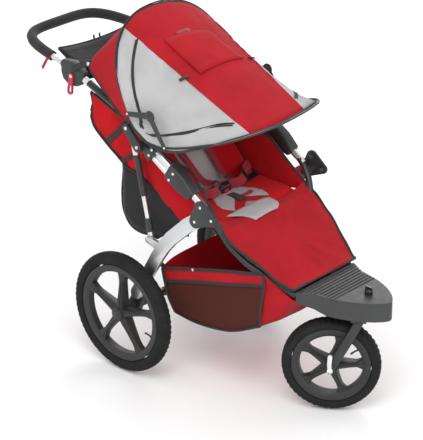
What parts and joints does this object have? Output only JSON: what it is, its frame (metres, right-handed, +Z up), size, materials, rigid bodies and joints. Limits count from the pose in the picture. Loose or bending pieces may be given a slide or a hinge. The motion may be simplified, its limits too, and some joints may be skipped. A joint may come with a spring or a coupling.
{
  "type": "jogging stroller",
  "caption": "Folding three-wheeled jogging stroller with a swivel front wheel, large spoked rear wheels, a padded reclining seat, a folding canopy, a basket and a looped handlebar.",
  "frame": {"origin": "on the ground, under the middle of the overall box", "axes": "+Z up; the stroller faces -Y, its right side is -X and its left side is +X"},
  "size_m": [0.645, 1.3954, 1.1151],
  "materials": {
    "silver_tube": "satin silver tube",
    "black_tube": "black powder coat",
    "dark_plastic": "moulded, lightly grained",
    "grey_plastic": "moulded, lightly grained",
    "foam": "soft foam grip",
    "tyre": "block tread",
    "steel": "plated",
    "red_plastic": "moulded red",
    "red_fabric": "woven polyester",
    "black_mesh": "open mesh"
  },
  "bodies": {
    "frame": {"front_rail_right": "black_tube", "front_rail_left": "black_tube", "frame_housing_right": "dark_plastic", "frame_housing_left": "dark_plastic", "twin_tubes_right": "silver_tube", "twin_tubes_left": "silver_tube", "knuckle_fitting_right": "dark_plastic", "knuckle_fitting_left": "dark_plastic", "hub_plate_right": "dark_plastic", "hub_plate_left": "dark_plastic", "seat_side_right": "red_fabric", "seat_side_left": "red_fabric", "seat_cross_tube": "black_tube", "footplate": "grey_plastic", "steering_head": "black_tube", "seat_base": "red_fabric", "leg_rest": "red_fabric", "basket": "red_fabric", "harness_buckle": "dark_plastic"},
    "handle_frame": {"handle_housing_right": "dark_plastic", "handle_housing_left": "dark_plastic", "side_tube_right": "black_tube", "side_tube_left": "black_tube", "knuckle_link_right": "dark_plastic", "knuckle_link_left": "dark_plastic", "handlebar": "silver_tube", "handle_grip": "foam", "handle_console": "black_mesh", "canopy_rear_bow": "black_tube", "canopy_rear_panel": "red_fabric"},
    "brake_lever": {"parking_brake_lever": "red_plastic"},
    "rear_frame": {"rear_beam_right": "silver_tube", "rear_beam_left": "silver_tube", "brake_carrier_right": "dark_plastic", "brake_carrier_left": "dark_plastic", "rear_axle_tube": "black_tube"},
    "rear_wheel_right": {"rear_rim_right": "dark_plastic", "rear_tyre_right": "tyre"},
    "rear_wheel_left": {"rear_rim_left": "dark_plastic", "rear_tyre_left": "tyre"},
    "fork": {"fork": "dark_plastic", "front_axle": "steel"},
    "front_wheel": {"front_rim": "dark_plastic", "front_tyre": "tyre"},
    "quick_release": {"quick_release_lever": "steel"},
    "swivel_lock": {"swivel_knob": "dark_plastic"},
    "canopy_front": {"canopy_front_bow": "black_tube", "canopy_shell": "red_fabric"},
    "brace_rear_right": {"brace_rear_arm_right": "grey_plastic"},
    "brace_rear_left": {"brace_rear_arm_left": "grey_plastic"},
    "brace_front_right": {"brace_front_arm_right": "grey_plastic"},
    "brace_front_left": {"brace_front_arm_left": "grey_plastic"},
    "seat_hinge": {"seat_pivot_bar": "black_tube"},
    "backrest": {"seat_back": "red_fabric", "rear_pocket": "black_mesh"},
    "buckle_button": {"buckle_button": "red_plastic"},
    "strut_right": {"strut_rod_right": "silver_tube", "strut_sleeve_right": "dark_plastic"},
    "strut_left": {"strut_rod_left": "silver_tube", "strut_sleeve_left": "dark_plastic"}
  },
  "joints": [
    {"name": "fold", "type": "hinge", "parent": "frame", "child": "handle_frame", "pos_m": [0, 0.087, 0.762], "axis": [1, 0, 0], "range_deg": [-150, 0], "deforming": ["basket", "rear_pocket", "seat_back", "seat_side_right", "seat_side_left"]},
    {"name": "rear_frame_fold", "type": "hinge", "parent": "frame", "child": "rear_frame", "pos_m": [0, -0.152, 0.588], "axis": [1, 0, 0], "range_deg": [-38, 0]},
    {"name": "rear_wheel_spin_right", "type": "hinge", "parent": "rear_frame", "child": "rear_wheel_right", "pos_m": [0, 0.132, 0.2], "axis": [1, 0, 0], "continuous": true},
    {"name": "strut_swing_right", "type": "hinge", "parent": "rear_frame", "child": "strut_right", "pos_m": [0, 0.051, 0.462], "axis": [1, 0, 0], "range_deg": [0, 28.2]},
    {"name": "rear_wheel_spin_left", "type": "hinge", "parent": "rear_frame", "child": "rear_wheel_left", "pos_m": [0, 0.132, 0.2], "axis": [1, 0, 0], "continuous": true},
    {"name": "strut_swing_left", "type": "hinge", "parent": "rear_frame", "child": "strut_left", "pos_m": [0, 0.051, 0.462], "axis": [1, 0, 0], "range_deg": [0, 28.2]},
    {"name": "swivel", "type": "hinge", "parent": "frame", "child": "fork", "pos_m": [0, -0.589, 0.36], "axis": [0, 0, 1], "continuous": true},
    {"name": "front_wheel_spin", "type": "hinge", "parent": "fork", "child": "front_wheel", "pos_m": [-0.04848, -0.51676, 0.154], "axis": [0.8304, 0.5572, 0], "continuous": true},
    {"name": "quick_release", "type": "hinge", "parent": "fork", "child": "quick_release", "pos_m": [-0.09664, -0.54907, 0.154], "axis": [0.5572, -0.8304, 0], "range_deg": [0, 110]},
    {"name": "swivel_lock_turn", "type": "hinge", "parent": "frame", "child": "swivel_lock", "pos_m": [0, -0.613, 0.41], "axis": [0, 0, 1], "range_deg": [0, 90]},
    {"name": "brake_lever_pull", "type": "hinge", "parent": "handle_frame", "child": "brake_lever", "pos_m": [0, 0.4, 0.904], "axis": [1, 0, 0], "range_deg": [0, 50]},
    {"name": "canopy_fold", "type": "hinge", "parent": "handle_frame", "child": "canopy_front", "pos_m": [0, 0.117, 0.843], "axis": [-1, 0, 0], "range_deg": [0, 105], "deforming": ["canopy_shell"]},
    {"name": "brace_rear_turn_right", "type": "hinge", "parent": "handle_frame", "child": "brace_rear_right", "pos_m": [0, 0.122, 0.863], "axis": [-1, 0, 0], "range_deg": [0, 123.5]},
    {"name": "brace_knee_turn_right", "type": "hinge", "parent": "brace_rear_right", "child": "brace_front_right", "pos_m": [0, 0.025, 0.878], "axis": [1, 0, 0], "range_deg": [0, 28.8]},
    {"name": "brace_rear_turn_left", "type": "hinge", "parent": "handle_frame", "child": "brace_rear_left", "pos_m": [0, 0.122, 0.863], "axis": [-1, 0, 0], "range_deg": [0, 123.5]},
    {"name": "brace_knee_turn_left", "type": "hinge", "parent": "brace_rear_left", "child": "brace_front_left", "pos_m": [0, 0.025, 0.878], "axis": [1, 0, 0], "range_deg": [0, 28.8]},
    {"name": "backrest_fold", "type": "hinge", "parent": "frame", "child": "seat_hinge", "pos_m": [0, 0.01, 0.495], "axis": [1, 0, 0], "range_deg": [-90, 0]},
    {"name": "recline", "type": "hinge", "parent": "seat_hinge", "child": "backrest", "pos_m": [0, 0.01, 0.495], "axis": [-1, 0, 0], "range_deg": [0, 25]},
    {"name": "buckle_press", "type": "slide", "parent": "frame", "child": "buckle_button", "axis": [0, 1, 0], "range_m": [0, 0.003], "stiffness_N_per_m": 400, "springref_m": -0.002}
  ],
  "couplings": [
    {"joint": "rear_frame_fold", "follows": "fold", "ratio": 0.252},
    {"joint": "backrest_fold", "follows": "fold", "ratio": 0.6},
    {"joint": "strut_swing_right", "follows": "fold", "ratio": -0.1873},
    {"joint": "brace_rear_turn_right", "follows": "canopy_fold", "ratio": 1.173},
    {"joint": "brace_knee_turn_right", "follows": "canopy_fold", "ratio": 0.272},
    {"joint": "strut_swing_left", "follows": "fold", "ratio": -0.1873},
    {"joint": "brace_rear_turn_left", "follows": "canopy_fold", "ratio": 1.173},
    {"joint": "brace_knee_turn_left", "follows": "canopy_fold", "ratio": 0.272}
  ]
}
